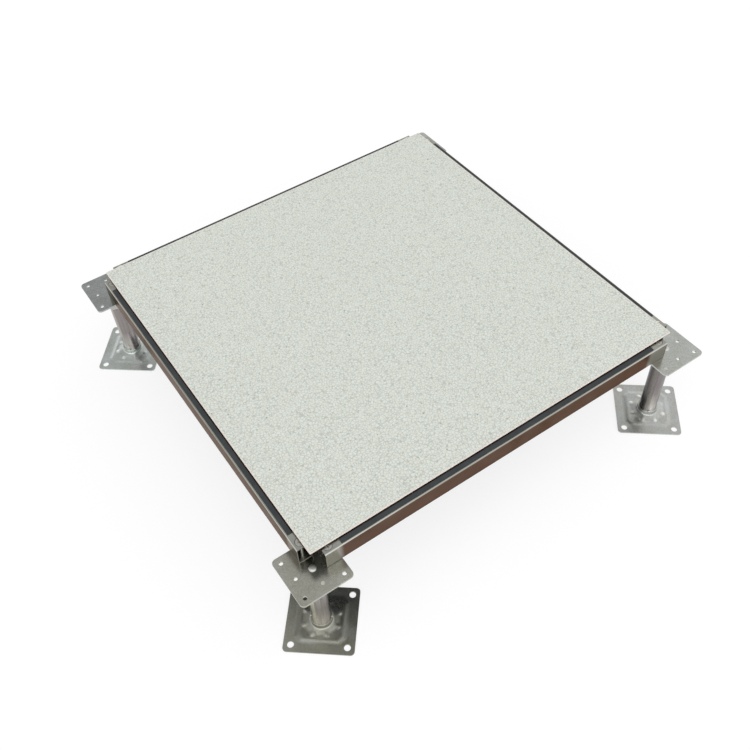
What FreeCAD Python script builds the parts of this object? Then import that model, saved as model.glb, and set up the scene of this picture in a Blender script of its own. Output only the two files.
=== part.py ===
import FreeCAD
import Part
import math
import os

# Raised access floor bay: a laminate faced steel panel on gasketed stringers and four levelling pedestals.
# Millimetres, +Z up, origin on the floor under the middle of the panel.

# Panel
panel_side = 600.0
panel_corner_radius = 1.5
laminate_thickness = 1.2
top_sheet_thickness = 1.0
top_sheet_setback = 0.5
pan_sheet = 0.8
pan_flange_setback = 1.0
pan_side_gap = 7.0
pan_draft = 11.0
pan_corner_gap = 3.0
pan_bottom_fillet = 4.0
pan_head_clearance = 3.5
cup_pitch = 86.0
cup_mouth_radius = 31.0
cup_roof_radius = 12.0
cup_edge_margin = 10.0

# Stringers, the beams between the pedestals
stringer_width = 20.0
stringer_height = 30.0
stringer_wall = 1.0
stringer_corner_radius = 2.0
stringer_end_gap = 15.0
gasket_width = 15.0
gasket_thickness = 1.5
gasket_edge_chamfer = 0.4
gasket_end_gap = 40.0

# Countersunk screws that hold the stringer ends to the head plates
screw_head_radius = 6.0
screw_head_land = 0.3
screw_thread_clearance = 0.05
screw_hole_clearance = 0.2

# Head plates and riveted studs
head_side = 75.0
head_thickness = 3.0
head_corner_radius = 6.0
head_corner_hole_offset = 28.0
head_corner_hole_radius = 2.75
head_tapped_hole_offset = 24.0
head_tapped_hole_radius = 2.5
stud_radius = 8.0
stud_length = 75.0
rivet_radius = 4.0
rivet_head_radius = 5.0
rivet_top_radius = 3.0
rivet_head_height = 1.8
rivet_clearance = 0.1

# Levelling nuts
nut_sides = 6
nut_across_flats = 24.0
nut_height = 13.0
nut_bore_clearance = 0.3
stud_exposed = 19.5

# Pedestal tubes
tube_radius = 12.7
tube_wall = 1.5
tube_length = 104.0

# Pressed base plates
base_side = 95.0
base_corner_radius = 5.5
base_sheet = 2.0
base_rim_width = 14.0
base_hole_inset = 10.0
base_hole_radius = 4.5
base_hole_land = 6.8
base_turn = -39.0
platform_slope_run = 3.5
platform_rise = 1.5
boss_margin = 11.8
boss_slope_run = 8.0
boss_rise = 2.5
press_fillet = 5.0
collar_rise = 7.0
collar_clearance = 0.15

# Levels and places that follow from the sizes above
module_half = panel_side / 2
tube_foot_z = platform_rise + boss_rise
tube_top_z = tube_foot_z + tube_length
nut_top_z = tube_top_z + nut_height
head_bottom_z = nut_top_z + stud_exposed
head_top_z = head_bottom_z + head_thickness
stringer_top_z = head_top_z + stringer_height
gasket_top_z = stringer_top_z + gasket_thickness
pan_top_z = gasket_top_z + pan_sheet
sheet_top_z = pan_top_z + top_sheet_thickness
pan_bottom_z = head_top_z + pan_head_clearance
screw_radius = head_tapped_hole_radius - screw_thread_clearance
base_hole_offset = base_side / 2 - base_hole_inset

up = FreeCAD.Vector(0, 0, 1)
origin = FreeCAD.Vector(0, 0, 0)
quarter_turn = 90.0
level_tolerance = 0.01
sides = ("front", "right", "back", "left")
corners = ("front_left", "front_right", "back_right", "back_left")


def at(x, y, z):
    return FreeCAD.Vector(x, y, z)


def save(shape, name):
    shape.exportStep("parts/" + name + ".step")


def round_square(half, radius, z):
    """A square outline with rounded corners, level at height z."""
    flat = half - radius
    edges = []
    for step in range(4):
        turn = math.radians(quarter_turn * step)
        c = math.cos(turn)
        s = math.sin(turn)

        def spot(x, y):
            return at(c * x - s * y, s * x + c * y, z)

        middle = flat + radius * math.sqrt(0.5)
        edges.append(Part.LineSegment(spot(half, -flat), spot(half, flat)).toShape())
        edges.append(Part.Arc(spot(half, flat), spot(middle, middle), spot(flat, half)).toShape())
    return Part.Wire(edges)


def square_plate(half, radius, bottom, thickness):
    return Part.Face(round_square(half, radius, bottom)).extrude(up * thickness)


def eight_sided(flat_half, corner_half, z):
    """Corners of a square with cut corners, from half its width across flats and across cut corners."""
    side = math.sqrt(2) * corner_half - flat_half
    quarter = [(flat_half, -side), (flat_half, side)]
    points = []
    for step in range(4):
        for x, y in quarter:
            points.append(at(x, y, z))
        quarter = [(-y, x) for x, y in quarter]
    return points


def face_of(points):
    return Part.Face(Part.makePolygon(points + points[:1]))


def tapered_block(flat_half, corner_half, slope_run, wide_z, narrow_z):
    """An eight sided block whose sides lean in by slope_run from its wide end to its narrow end."""
    wide = eight_sided(flat_half, corner_half, wide_z)
    narrow = eight_sided(flat_half - slope_run, corner_half - slope_run, narrow_z)
    faces = [face_of(wide), face_of(narrow)]
    for i in range(len(wide)):
        faces.append(face_of([wide[i - 1], wide[i], narrow[i], narrow[i - 1]]))
    block = Part.Solid(Part.Shell(faces))
    if block.Volume < 0:
        block.reverse()
    return block


def flat_edges(shape, levels, reach):
    """The level edges of a shape that lie at the given heights, within reach of the Z axis."""
    found = []
    for edge in shape.Edges:
        box = edge.BoundBox
        level = min(abs(box.ZMin - z) for z in levels)
        far = max(abs(box.XMin), abs(box.XMax), abs(box.YMin), abs(box.YMax))
        if box.ZLength < level_tolerance and level < level_tolerance and far < reach:
            found.append(edge)
    return found


def drill(shape, places, radius, bottom, top):
    for x, y in places:
        shape = shape.cut(Part.makeCylinder(radius, top - bottom, at(x, y, bottom)))
    return shape


def corner_places(offset):
    return [(offset * sx, offset * sy) for sx in (-1, 1) for sy in (-1, 1)]


def edge_places(offset):
    return [(offset, 0), (0, offset), (-offset, 0), (0, -offset)]


def to_corner(shape, step):
    """Moves a piece made on the Z axis to the front left pedestal, then round to the chosen corner."""
    moved = shape.translated(at(-module_half, -module_half, 0))
    return moved.rotated(origin, up, quarter_turn * step)


def to_side(shape, step):
    """Turns a piece made along the front edge round to the chosen side."""
    return shape.rotated(origin, up, quarter_turn * step)


def panel_laminate():
    return square_plate(module_half, panel_corner_radius, sheet_top_z, laminate_thickness)


def panel_top_sheet():
    half = module_half - top_sheet_setback
    return square_plate(half, panel_corner_radius, pan_top_z, top_sheet_thickness)


def pan_wall_half(z):
    """Half the outer width of the pan's tapered body at height z."""
    top_half = module_half - stringer_width / 2 - pan_side_gap
    return top_half - pan_draft * (gasket_top_z - z) / (gasket_top_z - pan_bottom_z)


def pan_block(low_z, high_z, inset, fillet):
    """The pan's tapered body between two heights, drawn in by inset, with its lower edges rounded."""
    corner_half = (module_half - head_side / 2) * math.sqrt(2) - pan_corner_gap
    corner_offset = corner_half - pan_wall_half(gasket_top_z)
    wide = pan_wall_half(high_z) - inset
    run = pan_wall_half(high_z) - pan_wall_half(low_z)
    block = tapered_block(wide, wide + corner_offset, run, high_z, low_z)
    return block.makeFillet(fillet, flat_edges(block, [low_z], module_half))


def cup_places():
    rows = int(2 * (pan_wall_half(pan_bottom_z) - cup_edge_margin) // cup_pitch)
    line = [cup_pitch * (i - (rows - 1) / 2) for i in range(rows)]
    return [(x, y) for x in line for y in line]


def panel_bottom_pan():
    """The deep drawn pan: a flange that rests on the gaskets and a tray with cups up to the top sheet."""
    depth = pan_top_z - pan_bottom_z - pan_sheet
    lean = (cup_mouth_radius - cup_roof_radius) / depth
    skin = pan_sheet * math.sqrt(1 + lean ** 2)
    cups = []
    posts = []
    for x, y in cup_places():
        foot = at(x, y, pan_bottom_z)
        cups.append(Part.makeCone(cup_mouth_radius, cup_roof_radius, depth, foot))
        top_radius = cup_roof_radius + skin - lean * pan_sheet
        posts.append(Part.makeCone(cup_mouth_radius + skin, top_radius, depth + pan_sheet, foot))
    flange_half = module_half - pan_flange_setback
    flange = square_plate(flange_half, panel_corner_radius, gasket_top_z, pan_sheet)
    body = pan_block(pan_bottom_z, gasket_top_z, 0, pan_bottom_fillet)
    hollow = pan_block(pan_bottom_z + pan_sheet, pan_top_z, pan_sheet, pan_bottom_fillet - pan_sheet)
    hollow = hollow.cut(Part.makeCompound(posts))
    return body.fuse(flange).cut(hollow).cut(Part.makeCompound(cups))


def stringer_section(inset):
    """The upright rectangular section of a stringer at its left end, drawn in by inset."""
    half = stringer_width / 2 - inset
    radius = stringer_corner_radius - inset
    x = -module_half + stringer_end_gap
    low = head_top_z + inset
    high = stringer_top_z - inset
    bend = radius * (1 - math.sqrt(0.5))

    def spot(y, z):
        return at(x, y - module_half, z)

    edges = [
        Part.LineSegment(spot(radius - half, low), spot(half - radius, low)),
        Part.Arc(spot(half - radius, low), spot(half - bend, low + bend), spot(half, low + radius)),
        Part.LineSegment(spot(half, low + radius), spot(half, high - radius)),
        Part.Arc(spot(half, high - radius), spot(half - bend, high - bend), spot(half - radius, high)),
        Part.LineSegment(spot(half - radius, high), spot(radius - half, high)),
        Part.Arc(spot(radius - half, high), spot(bend - half, high - bend), spot(-half, high - radius)),
        Part.LineSegment(spot(-half, high - radius), spot(-half, low + radius)),
        Part.Arc(spot(-half, low + radius), spot(bend - half, low + bend), spot(radius - half, low)),
    ]
    return Part.Face(Part.Wire([edge.toShape() for edge in edges]))


def screw_places():
    """The two places on the front stringer where its screws go down into the head plates."""
    reach = module_half - head_tapped_hole_offset
    return [(-reach, -module_half), (reach, -module_half)]


def stringer():
    """A rectangular steel tube with open ends and a pressed countersink for a screw near each end."""
    length = panel_side - 2 * stringer_end_gap
    along = at(length, 0, 0)
    tube = stringer_section(0).extrude(along).cut(stringer_section(stringer_wall).extrude(along))
    hole = screw_radius + screw_hole_clearance
    rim = screw_head_radius + screw_head_land + screw_hole_clearance
    dimple_depth = rim - hole
    shell = stringer_wall * (math.sqrt(2) - 1)
    for x, y in screw_places():
        low = at(x, y, stringer_top_z - dimple_depth - stringer_wall)
        cup = Part.makeCone(hole + shell, rim + shell, dimple_depth, low)
        tube = tube.fuse(cup)
        tube = tube.cut(Part.makeCylinder(hole, stringer_height, at(x, y, head_top_z)))
        tube = tube.cut(Part.makeCone(hole, rim, dimple_depth, at(x, y, stringer_top_z - dimple_depth)))
    return tube


def stringer_gasket():
    """The soft strip along the top of a stringer that the panel rests on."""
    length = panel_side - 2 * gasket_end_gap
    corner = at(-length / 2, -module_half - gasket_width / 2, stringer_top_z)
    strip = Part.makeBox(length, gasket_width, gasket_thickness, corner)
    long_edges = [
        edge
        for edge in strip.Edges
        if edge.BoundBox.ZMin > stringer_top_z and edge.BoundBox.XLength > length / 2
    ]
    return strip.makeChamfer(gasket_edge_chamfer, long_edges)


def stringer_screw():
    """A countersunk screw on the Z axis, from the stringer's top face down through the head plate."""
    top_z = stringer_top_z - screw_head_land
    cone_height = screw_head_radius - screw_radius
    shank = Part.makeCylinder(screw_radius, top_z - head_bottom_z, at(0, 0, head_bottom_z))
    cone = Part.makeCone(screw_radius, screw_head_radius, cone_height, at(0, 0, top_z - cone_height))
    return shank.fuse(cone).removeSplitter()


def head_plate():
    plate = square_plate(head_side / 2, head_corner_radius, head_bottom_z, head_thickness)
    plate = drill(plate, [(0, 0)], rivet_radius + rivet_clearance, head_bottom_z, head_top_z)
    clearance_holes = corner_places(head_corner_hole_offset)
    plate = drill(plate, clearance_holes, head_corner_hole_radius, head_bottom_z, head_top_z)
    tapped_holes = edge_places(head_tapped_hole_offset)
    return drill(plate, tapped_holes, head_tapped_hole_radius, head_bottom_z, head_top_z)


def stud():
    """A threaded rod with a shoulder under the head plate and a hammered rivet end above it."""
    rod = Part.makeCylinder(stud_radius, stud_length, at(0, 0, head_bottom_z - stud_length))
    neck = Part.makeCylinder(rivet_radius, head_thickness, at(0, 0, head_bottom_z))
    rivet = Part.makeCone(rivet_head_radius, rivet_top_radius, rivet_head_height, at(0, 0, head_top_z))
    return rod.fuse(neck).fuse(rivet)


def levelling_nut():
    """A hexagon nut that stands on the tube and carries the stud."""
    circumradius = nut_across_flats / 2 / math.cos(math.pi / nut_sides)
    points = []
    for step in range(nut_sides):
        turn = 2 * math.pi * step / nut_sides
        points.append(at(circumradius * math.cos(turn), circumradius * math.sin(turn), tube_top_z))
    nut = face_of(points).extrude(up * nut_height)
    return drill(nut, [(0, 0)], stud_radius + nut_bore_clearance, tube_top_z, nut_top_z)


def pedestal_tube():
    outer = Part.makeCylinder(tube_radius, tube_length, at(0, 0, tube_foot_z))
    return outer.cut(Part.makeCylinder(tube_radius - tube_wall, tube_length, at(0, 0, tube_foot_z)))


def base_plate():
    """A pressed sheet: rim with anchor holes, cut corner platform, eight sided boss and tube collar."""
    platform_half = base_side / 2 - base_rim_width
    platform_corner_half = base_hole_offset * math.sqrt(2) - base_hole_radius - base_hole_land
    boss_half = tube_radius + boss_margin
    platform_z = base_sheet + platform_rise
    boss_z = platform_z + boss_rise
    collar_z = boss_z + collar_rise
    bore = tube_radius + collar_clearance
    steps = [
        (platform_half, platform_corner_half, platform_slope_run, platform_rise, base_sheet),
        (boss_half, boss_half, boss_slope_run, boss_rise, platform_z),
    ]
    plate = square_plate(base_side / 2, base_corner_radius, 0, base_sheet)
    for flat_half, corner_half, slope_run, rise, foot_z in steps:
        plate = plate.fuse(tapered_block(flat_half, corner_half, slope_run, foot_z, foot_z + rise))
    plate = plate.removeSplitter()
    bends = flat_edges(plate, [base_sheet, platform_z, boss_z], base_side / 2 - base_corner_radius)
    plate = plate.makeFillet(press_fillet, bends)
    plate = plate.fuse(Part.makeCylinder(bore + base_sheet, collar_z, origin))
    for flat_half, corner_half, slope_run, rise, foot_z in steps:
        inset = base_sheet * math.tan(math.atan2(rise, slope_run) / 2)
        hollow_z = foot_z - base_sheet
        hollow = tapered_block(flat_half - inset, corner_half - inset, slope_run, hollow_z, hollow_z + rise)
        plate = plate.cut(hollow)
    plate = drill(plate, [(0, 0)], bore, 0, collar_z)
    plate = drill(plate, corner_places(base_hole_offset), base_hole_radius, 0, base_sheet)
    return plate.rotated(origin, up, base_turn)


os.makedirs("parts", exist_ok=True)

save(panel_laminate(), "panel_laminate")
save(panel_top_sheet(), "panel_top_sheet")
save(panel_bottom_pan(), "panel_bottom_pan")

front_stringer = stringer()
front_gasket = stringer_gasket()
for step, side in enumerate(sides):
    save(to_side(front_stringer, step), "stringer_" + side)
    save(to_side(front_gasket, step), "stringer_gasket_" + side)

screw = stringer_screw()
screws = []
for step in range(len(sides)):
    for x, y in screw_places():
        screws.append(to_side(screw.translated(at(x, y, 0)), step))
save(Part.makeCompound(screws), "stringer_screws")

pedestal = {
    "head_plate": head_plate(),
    "stud": stud(),
    "levelling_nut": levelling_nut(),
    "pedestal_tube": pedestal_tube(),
    "base_plate": base_plate(),
}
for step, corner in enumerate(corners):
    for piece, shape in pedestal.items():
        save(to_corner(shape, step), piece + "_" + corner)
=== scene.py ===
import math

import bpy
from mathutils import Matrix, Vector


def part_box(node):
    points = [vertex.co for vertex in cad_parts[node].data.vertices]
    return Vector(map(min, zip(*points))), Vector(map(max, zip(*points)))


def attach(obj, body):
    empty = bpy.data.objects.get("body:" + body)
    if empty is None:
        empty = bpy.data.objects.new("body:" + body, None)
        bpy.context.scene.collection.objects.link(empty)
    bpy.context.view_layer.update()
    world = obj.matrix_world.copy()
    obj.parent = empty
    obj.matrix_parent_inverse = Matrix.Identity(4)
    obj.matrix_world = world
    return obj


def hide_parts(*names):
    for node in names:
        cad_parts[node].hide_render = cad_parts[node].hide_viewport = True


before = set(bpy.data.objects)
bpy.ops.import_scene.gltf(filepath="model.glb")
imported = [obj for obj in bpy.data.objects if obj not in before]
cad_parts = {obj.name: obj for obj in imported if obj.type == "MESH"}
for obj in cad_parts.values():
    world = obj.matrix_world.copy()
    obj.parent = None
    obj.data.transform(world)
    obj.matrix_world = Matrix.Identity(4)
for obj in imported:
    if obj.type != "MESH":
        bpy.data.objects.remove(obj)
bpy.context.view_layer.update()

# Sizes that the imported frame's boxes don't give, lengths in metres
MM = 0.001
NEAR = 0.02 * MM
CUT_PAST = 1 * MM
HALF = 300 * MM
PANEL_CORNER = 1.5 * MM
LAMINATE_EDGE = 0.4 * MM
TOP_SHEET_EDGE = 0.15 * MM
GASKET_SHOULDER = 0.5 * MM
STRINGER_BEND = 2 * MM
STRINGER_WALL = 1 * MM
CUP_WALL = 0.7 * STRINGER_WALL
CUP_LIP = 0.4 * MM
SCREW_HEAD = 6 * MM
SCREW_SHANK = 2.45 * MM
SCREW_SUNK = 0.3 * MM
SCREW_EDGE = 0.3 * MM
SCREW_CLEARANCE = 0.2 * MM
RECESS_WING = 0.6 * MM
RECESS_REACH = 2.9 * MM
RECESS_DEPTH = 1.8 * MM
HEAD_CORNER = 6 * MM
HEAD_EDGE = 0.35 * MM
HEAD_HOLE_EDGE = 0.25 * MM
HEAD_CORNER_HOLE = 28 * MM
HEAD_CORNER_HOLE_RADIUS = 2.75 * MM
HEAD_SCREW_HOLE = 24 * MM
HEAD_SCREW_HOLE_RADIUS = 2.5 * MM
RIVET_NECK = 4.1 * MM
RIVET_RADIUS = 5 * MM
RIVET_FOOT = 0.5 * MM
STUD_RADIUS = 8 * MM
STUD_ROOT = 6.8 * MM
STUD_PITCH = 2 * MM
STUD_TURNS = 24
STUD_CHAMFER = 1 * MM
CORE_GAP = 0.1 * MM
SHANK_LIFT = 1.2 * MM
SHOULDER_HEIGHT = 1.2 * MM
SHOULDER_EDGE = 0.8 * MM
NUT_FLATS = 24 * MM
NUT_BORE = 8.3 * MM
NUT_CHAMFER = 1.5 * MM
NUT_BORE_CHAMFER = 0.6 * MM
NUT_TURNED_GAP = 0.1 * MM
TUBE_RADIUS = 12.7 * MM
TUBE_WALL = 1.5 * MM
TUBE_EDGE = 0.4 * MM
BASE_SIDE = 95 * MM
BASE_CORNER = 5.5 * MM
BASE_SHEET = 2 * MM
BASE_HOLE = 37.5 * MM
BASE_HOLE_RADIUS = 4.5 * MM
BASE_HOLE_EDGE = 0.3 * MM
BASE_TURN = math.radians(-39)
PLATFORM_FLAT = 34.4 * MM
PLATFORM_CORNER = 42.6 * MM
PLATFORM_RUN = 5.4 * MM
PLATFORM_RISE = 1.5 * MM
PLATFORM_Z = BASE_SHEET + PLATFORM_RISE
BOSS_FLAT = 24.5 * MM
BOSS_REACH = BOSS_FLAT / math.cos(math.pi / 8)
BOSS_RISE = 2.5 * MM
BOSS_Z = PLATFORM_Z + BOSS_RISE
COLLAR_RADIUS = 14.85 * MM
COLLAR_RISE = 7 * MM
COLLAR_ROOT = 1.6 * MM
COLLAR_EDGE = 0.5 * MM
COLLAR_Z = BOSS_Z + COLLAR_RISE
RINGS_APART = 30 * MM
PRESS_EASE = 1.6 * MM
PRESS_BEND = 2.2 * MM
NUGGET_RADIUS = 2 * MM
NUGGET_SHAPE = (0.8, 1.15, 0.75)
KNUCKLE_INSET = 1 * MM
KNUCKLE_RADIUS = 4.4 * MM
KNUCKLE_RISE = 0.55 * MM
KNUCKLE_GRIP = 0.7 * MM
KNUCKLE_GLINT = 4 * MM
KNUCKLE_GLINT_DEPTH = 0.5 * MM
# The rivet head's rounding: the rise and the narrowing of each step
RIVET_STEPS = ((0.5 * MM, 0.9), (0.4 * MM, 0.82), (0.25 * MM, 0.7), (0.12 * MM, 0.5))
# The ring of faces round the boss's foot that the swellings need fine, as shares of the boss's reach
KNUCKLE_RING = (0.72, 1.16)

# How many flat sides stand for a round
SCREW_SIDES = 40
HEAD_HOLE_SIDES = 32
STUD_SIDES = 48
RIVET_SIDES = 40
NUT_SIDES = 72
NUT_BORE_SIDES = 48
TUBE_SIDES = 80
COLLAR_SIDES = 48
BASE_HOLE_SIDES = 40
BACKDROP_SIDES = 96

# Where a finish changes: places and heights on the object in metres
LAMINATE_HIGHLIGHT_BAND = (298.6 * MM, 299.2 * MM)
COAT_SHADED_EDGE = (297.5 * MM, 298.5 * MM)
GASKET_SHADOWED = (HALF + 1 * MM, HALF + 1.8 * MM)
STRINGER_END = (259 * MM, 266 * MM)
STRINGER_ENDING = (120 * MM, 260 * MM)
STRINGER_RIGHT = (0, 100 * MM)
STRINGER_RIGHT_LONGER = 11 * MM
STRINGER_LEFT_LIT = (-289 * MM, -287 * MM)
STRINGER_FOOT_SHADE = (144.5 * MM, 148.5 * MM)
RIVET_UNDERSIDE = (143.4 * MM, 143.6 * MM)
TUBE_RIGHT = (-100 * MM, 100 * MM)
TUBE_NEAR = (-500 * MM, -100 * MM)
TUBE_UPPER = (25 * MM, 70 * MM)
TUBE_FOOT = (20 * MM, 55 * MM)
PEDESTAL_REACH = 400 * MM
# The near, right and left pedestals, told apart by a sum or a difference of two ways across the bay
PEDESTALS = (("ADD", "X", "Y", -1), ("SUBTRACT", "X", "Y", 1), ("SUBTRACT", "Y", "X", 1))
NEAR_PEDESTAL = PEDESTALS[0]
# Ways that the tubes' painted highlight streak and the right tube's painted shade face
HIGHLIGHT_SIDE = (-0.947, -0.322, 0)
DIM_SIDE = (-0.824, 0.566, 0)

# Tones, tints and pattern scales
CLOUD = (0.3, 0.7)
SOFT_SHINE = 0.2
CELL_SCALE = 260
FLECK_SCALE = 105
CELL_TONES = [(0.0, (0.725, 0.735, 0.655)), (0.5, (0.715, 0.745, 0.68)), (1.0, (0.73, 0.77, 0.72))]
BEND_HIGHLIGHT_SHARES = [(0.35, (0, 0, 0)), (0.6, (1, 1, 1)), (0.99, (0, 0, 0))]
# Painted light and shade: tints that lighten or darken the near, right and left pedestals' plates
HEAD_PAINTED_LIGHT = ((0.91, 0.895, 0.83), (1.09, 1.1, 1.09), (0.87, 0.895, 0.92))
BASE_PAINTED_LIGHT = ((0.73, 0.72, 0.66), (1.0, 1.0, 1.0), (1.12, 1.17, 1.18))
# Painted shade on the near base: shares of its tone, by height from its rim to the top of its boss
NEAR_PRESSING_SHADE = [(0.0, 1.0), (0.1, 0.74), (0.33, 0.74), (0.42, 0.86), (0.9, 1.0)]

SIDES = ("front", "right", "back", "left")
CORNERS = ("front_left", "front_right", "back_right", "back_left")
# How bright the painted glint is on each of a base plate's eight swellings
KNUCKLE_GLINT_SHARES = {
    "front_left": (0.9, 0.5, 0.2, 1, 0.15, 0.85, 0.3, 0.2),
    "front_right": (0.2, 0.2, 0.9, 1, 0.3, 0.15, 1, 0.9),
    "back_right": (0.6, 0.2, 0.9, 0.3, 0.8, 0.2, 0.5, 0.9),
    "back_left": (1, 0.9, 0.2, 0.2, 0.9, 0.8, 0.15, 0.3),
}


# Workshop helpers

def start():
    if bpy.context.mode != "OBJECT":
        bpy.ops.object.mode_set(mode="OBJECT")
    bpy.ops.object.select_all(action="DESELECT")


def hold(piece):
    start()
    piece.select_set(True)
    bpy.context.view_layer.objects.active = piece


def place(piece, name):
    piece.name = name
    piece.data.name = name
    hold(piece)
    bpy.ops.object.transform_apply(location=True, rotation=True, scale=True)
    return piece


def block(name, low, high):
    """A box between two corners."""
    start()
    middle = [(a + b) / 2 for a, b in zip(low, high)]
    bpy.ops.mesh.primitive_cube_add(size=1, location=middle)
    piece = bpy.context.active_object
    piece.scale = [b - a for a, b in zip(low, high)]
    return place(piece, name)


def bar(name, radius, low, high, sides, spot=(0, 0), ends="NGON", turn=0, top_radius=None):
    """A round, tapered or many sided bar that stands between two heights."""
    start()
    bpy.ops.mesh.primitive_cone_add(
        vertices=sides,
        radius1=radius,
        radius2=radius if top_radius is None else top_radius,
        depth=high - low,
        end_fill_type=ends,
        location=(spot[0], spot[1], (low + high) / 2),
        rotation=(0, 0, turn),
    )
    return place(bpy.context.active_object, name)


def pick(piece, kind, test):
    """Selects the vertices, edges or faces that pass a test of their place, and goes into edit mode."""
    hold(piece)
    bpy.ops.object.mode_set(mode="EDIT")
    bpy.ops.mesh.select_mode(type=kind)
    bpy.ops.mesh.select_all(action="DESELECT")
    bpy.ops.object.mode_set(mode="OBJECT")
    spots = piece.data.vertices
    if kind == "VERT":
        for spot in spots:
            spot.select = test(spot.co)
    elif kind == "EDGE":
        for edge in piece.data.edges:
            a, b = edge.vertices
            edge.select = test(spots[a].co, spots[b].co)
    else:
        for face in piece.data.polygons:
            face.select = test(face.center, face.normal)
    bpy.ops.object.mode_set(mode="EDIT")


def done():
    bpy.ops.object.mode_set(mode="OBJECT")


def round_off(width, steps, corners=False):
    """Bevels what is picked, and goes back to object mode."""
    bpy.ops.mesh.bevel(
        offset=width,
        offset_type="OFFSET",
        segments=steps,
        profile=0.5,
        affect="VERTICES" if corners else "EDGES",
    )
    done()


def pull(shift, widen=1.0, middle=(0, 0, 0)):
    """Extrudes what is picked, then widens or narrows it about a standing axis."""
    bpy.ops.mesh.extrude_region_move(TRANSFORM_OT_translate={"value": shift})
    if widen != 1.0:
        bpy.ops.transform.resize(value=(widen, widen, 1), center_override=middle)


def shape(piece, kind, **settings):
    """Adds a modifier and applies it."""
    hold(piece)
    modifier = piece.modifiers.new(kind.lower(), kind)
    for key, value in settings.items():
        setattr(modifier, key, value)
    bpy.ops.object.modifier_apply(modifier=modifier.name)


def join(piece, *others):
    hold(piece)
    for other in others:
        other.select_set(True)
    bpy.ops.object.join()
    return piece


def cut(piece, *cutters, how="DIFFERENCE"):
    """Cuts a piece with others, or keeps what they share, and throws the cutters away."""
    cutter = cutters[0]
    if len(cutters) > 1:
        cutter = join(cutters[0], *cutters[1:])
    shape(piece, "BOOLEAN", object=cutter, operation=how, solver="EXACT")
    start()
    bpy.data.objects.remove(cutter)
    hold(piece)


def smooth(piece, angle):
    """Smooth shading on bends and flat shading on flats."""
    hold(piece)
    bpy.ops.object.shade_smooth_by_angle(angle=math.radians(angle))
    shape(piece, "WEIGHTED_NORMAL", weight=100, keep_sharp=True)


def copy_round(piece, name, step):
    """A copy with its own mesh, a quarter turn further round the bay for each step."""
    hold(piece)
    bpy.ops.object.duplicate(linked=False)
    twin = bpy.context.active_object
    twin.rotation_euler.z = math.radians(90) * step
    return place(twin, name)


def level(z):
    """A test for edges that lie at a height."""
    return lambda a, b: abs(a.z - z) < NEAR and abs(b.z - z) < NEAR


def flat_lying(a, b):
    return abs(a.z - b.z) < NEAR


def upright(a, b):
    return abs(a.x - b.x) < NEAR and abs(a.y - b.y) < NEAR


def anything(spot):
    return True


def on_ring(radius, z, middle=(0, 0)):
    """A test for edges round a circle at a height."""

    def off(spot):
        return abs(math.hypot(spot.x - middle[0], spot.y - middle[1]) - radius)

    def test(a, b):
        return level(z)(a, b) and off(a) < 10 * NEAR and off(b) < 10 * NEAR

    return test


# Finishes

def finish(name, metal, rough):
    """A new material with its shader and the two calls that build its nodes."""
    made = bpy.data.materials.new(name)
    made.use_nodes = True
    nodes = made.node_tree.nodes
    links = made.node_tree.links
    shader = nodes["Principled BSDF"]
    shader.inputs["Metallic"].default_value = metal
    shader.inputs["Roughness"].default_value = rough

    def add(kind, **values):
        node = nodes.new("ShaderNode" + kind)
        for key, value in values.items():
            if key in node.inputs:
                node.inputs[key].default_value = value
            else:
                setattr(node, key, value)
        return node

    def wire(source, target):
        links.new(source, target)

    return made, shader, add, wire


def spots_of(add, wire, scale=(1, 1, 1)):
    """Object coordinates, stretched."""
    where = add("TexCoord")
    stretch = add("Mapping", Scale=scale)
    wire(where.outputs["Object"], stretch.inputs["Vector"])
    return stretch.outputs["Vector"]


def noise_of(add, wire, where, **values):
    """Clouds, streaks or grain, as a number."""
    noise = add("TexNoise", **values)
    wire(where, noise.inputs["Vector"])
    return noise.outputs["Fac"]


def cells_of(add, wire, where, feature, scale):
    cells = add("TexVoronoi", feature=feature, Scale=scale)
    wire(where, cells.inputs["Vector"])
    return cells.outputs


def lot_of(add, wire, colour):
    """A number drawn from a cell's own colour."""
    parts = add("SeparateColor")
    wire(colour, parts.inputs["Color"])
    return parts.outputs["Red"]


def axes_of(add, wire, source):
    parts = add("SeparateXYZ")
    wire(source, parts.inputs["Vector"])
    return parts.outputs


def maths_of(add, wire, how, *values):
    worked = add("Math", operation=how)
    for index, value in enumerate(values):
        wire(value, worked.inputs[index])
    return worked.outputs["Value"]


def range_of(add, wire, source, reach, result=(0, 1)):
    """Turns one range of numbers into another, and stops at its ends."""
    fit = add("MapRange")
    wire(source, fit.inputs["Value"])
    for key, value in zip(("From Min", "From Max", "To Min", "To Max"), (*reach, *result)):
        fit.inputs[key].default_value = value
    return fit.outputs["Result"]


def towards_of(add, wire, normal, side):
    """How far a surface turns to a side, from -1 to 1."""
    turned = add("VectorMath", operation="DOT_PRODUCT")
    wire(normal, turned.inputs[0])
    turned.inputs[1].default_value = side
    return turned.outputs["Value"]


def furthest_of(add, wire, where, how="MAXIMUM"):
    """How far a spot lies from the middle of the bay, along the longer or the shorter of its two ways."""
    ways = axes_of(add, wire, where)
    sizes = [maths_of(add, wire, "ABSOLUTE", ways[axis]) for axis in ("X", "Y")]
    return maths_of(add, wire, how, *sizes)


def pedestal_of(add, wire, where, pedestal):
    """1 at one pedestal and 0 at the others."""
    how, first, second, sign = pedestal
    ways = axes_of(add, wire, where)
    across = maths_of(add, wire, how, ways[first], ways[second])
    return range_of(add, wire, across, (0.5 * sign * PEDESTAL_REACH, sign * PEDESTAL_REACH))


def ramp_of(add, wire, source, stops):
    ramp = add("ValToRGB")
    bands = ramp.color_ramp.elements
    while len(bands) < len(stops):
        bands.new(0.5)
    for band, (position, colour) in zip(bands, stops):
        band.position = position
        band.color = (*colour, 1)
    wire(source, ramp.inputs["Fac"])
    return ramp.outputs["Color"]


def tones_of(add, wire, cloud, dark, light):
    """A colour that drifts between two tones."""
    return ramp_of(add, wire, cloud, [(CLOUD[0], dark), (CLOUD[1], light)])


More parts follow.
